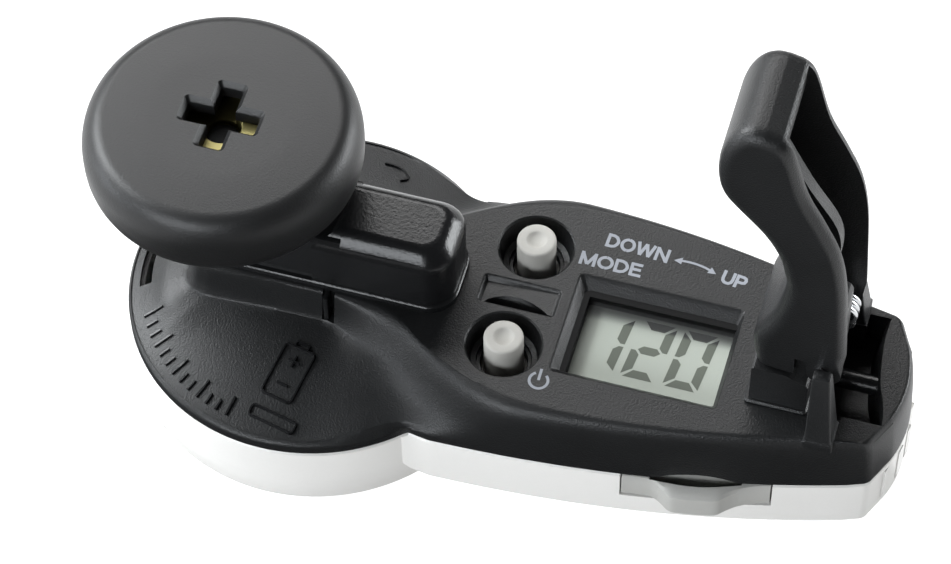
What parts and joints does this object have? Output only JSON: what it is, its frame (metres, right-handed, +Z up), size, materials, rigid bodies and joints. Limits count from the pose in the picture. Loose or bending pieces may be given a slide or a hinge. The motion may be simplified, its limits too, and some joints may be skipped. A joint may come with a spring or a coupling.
{
  "type": "measuring wheel",
  "caption": "Hand-held digital measuring wheel: rolling disc on a round casing, display, two buttons, side battery drawer and upright hinged arm.",
  "frame": {"origin": "underside of the lower shell, below the centre of the round casing", "axes": "+X along the body from the round casing to the hinged arm, +Y to the long side with the MODE button, +Z up through the display face"},
  "size_m": [0.0972, 0.0446, 0.0679],
  "materials": {
    "cover_black": "matte fine-textured moulded ABS",
    "block_black": "satin moulded ABS",
    "shell_white": "satin white moulded ABS",
    "wheel_rubber": "matte rubber-coated wheel with softly shining rim",
    "button_grey": "satin light grey",
    "drawer_grey": "satin mid grey",
    "brass": "turned brass, slightly dull",
    "steel": "bright steel",
    "dark_steel": "blackened steel",
    "gear_nylon": "natural nylon",
    "board_green": "solder-masked board",
    "lcd_glass": "grey-green reflective liquid crystal panel",
    "window_clear": "clear acrylic",
    "chip_black": "black resin"
  },
  "bodies": {
    "casing": {"upper_cover": "cover_black", "lower_shell": "shell_white", "gear_housing": "block_black", "axle_bearing_lower": "gear_nylon", "axle_bearing_upper": "brass", "idler_pin_first": "steel", "idler_pin_second": "steel", "arbor_bearing": "brass", "encoder_sensor": "chip_black", "circuit_board": "board_green", "mode_switch": "steel", "power_switch": "steel", "display_window": "window_clear", "lcd_panel": "lcd_glass", "lcd_connector": "chip_black", "lcd_holder": "block_black", "battery_contact_upper": "steel", "battery_contact_lower": "steel", "hinge_block": "block_black", "hinge_pin": "steel", "arm_spring": "steel", "lanyard_bar": "dark_steel", "case_screw_round_far": "dark_steel", "case_screw_round_near": "dark_steel", "case_screw_end_far": "dark_steel", "case_screw_end_near": "dark_steel"},
    "wheel": {"measuring_wheel": "wheel_rubber", "wheel_bush": "brass", "wheel_screw": "dark_steel", "wheel_axle": "steel", "drive_gear": "gear_nylon"},
    "first_idler": {"idler_gear_first": "gear_nylon"},
    "second_idler": {"idler_gear_second": "gear_nylon"},
    "encoder": {"encoder_pinion": "gear_nylon", "encoder_arbor": "steel", "encoder_disc": "chip_black"},
    "mode_button": {"mode_button": "button_grey"},
    "power_button": {"power_button": "button_grey"},
    "drawer": {"battery_drawer": "drawer_grey", "coin_cell": "steel"},
    "arm": {"clip_arm": "cover_black"}
  },
  "joints": [
    {"name": "wheel_spin", "type": "hinge", "parent": "casing", "child": "wheel", "pos_m": [-0.00968, 0, 0.0372], "axis": [0, 0, 1], "continuous": true},
    {"name": "first_idler_spin", "type": "hinge", "parent": "casing", "child": "first_idler", "pos_m": [-0.00268, 0, 0.0232], "axis": [0, 0, 1], "continuous": true},
    {"name": "second_idler_spin", "type": "hinge", "parent": "casing", "child": "second_idler", "pos_m": [0.00382, 0, 0.0232], "axis": [0, 0, 1], "continuous": true},
    {"name": "encoder_spin", "type": "hinge", "parent": "casing", "child": "encoder", "pos_m": [0.01032, 0, 0.0232], "axis": [0, 0, 1], "continuous": true},
    {"name": "mode_press", "type": "slide", "parent": "casing", "child": "mode_button", "axis": [0, 0, -1], "range_m": [0, 0.0005], "stiffness_N_per_m": 800},
    {"name": "power_press", "type": "slide", "parent": "casing", "child": "power_button", "axis": [0, 0, -1], "range_m": [0, 0.0005], "stiffness_N_per_m": 800},
    {"name": "drawer_slide", "type": "slide", "parent": "casing", "child": "drawer", "axis": [0, -1, 0], "range_m": [0, 0.016]},
    {"name": "arm_fold", "type": "hinge", "parent": "casing", "child": "arm", "pos_m": [0.0616, 0, 0.0279], "axis": [0, 1, 0], "range_deg": [0, 90], "stiffness_Nm_per_rad": 0.01, "springref_deg": -28.65}
  ],
  "couplings": [
    {"joint": "first_idler_spin", "follows": "wheel_spin", "ratio": -1.1538},
    {"joint": "second_idler_spin", "follows": "wheel_spin", "ratio": 1.1538},
    {"joint": "encoder_spin", "follows": "wheel_spin", "ratio": -1.1538}
  ]
}
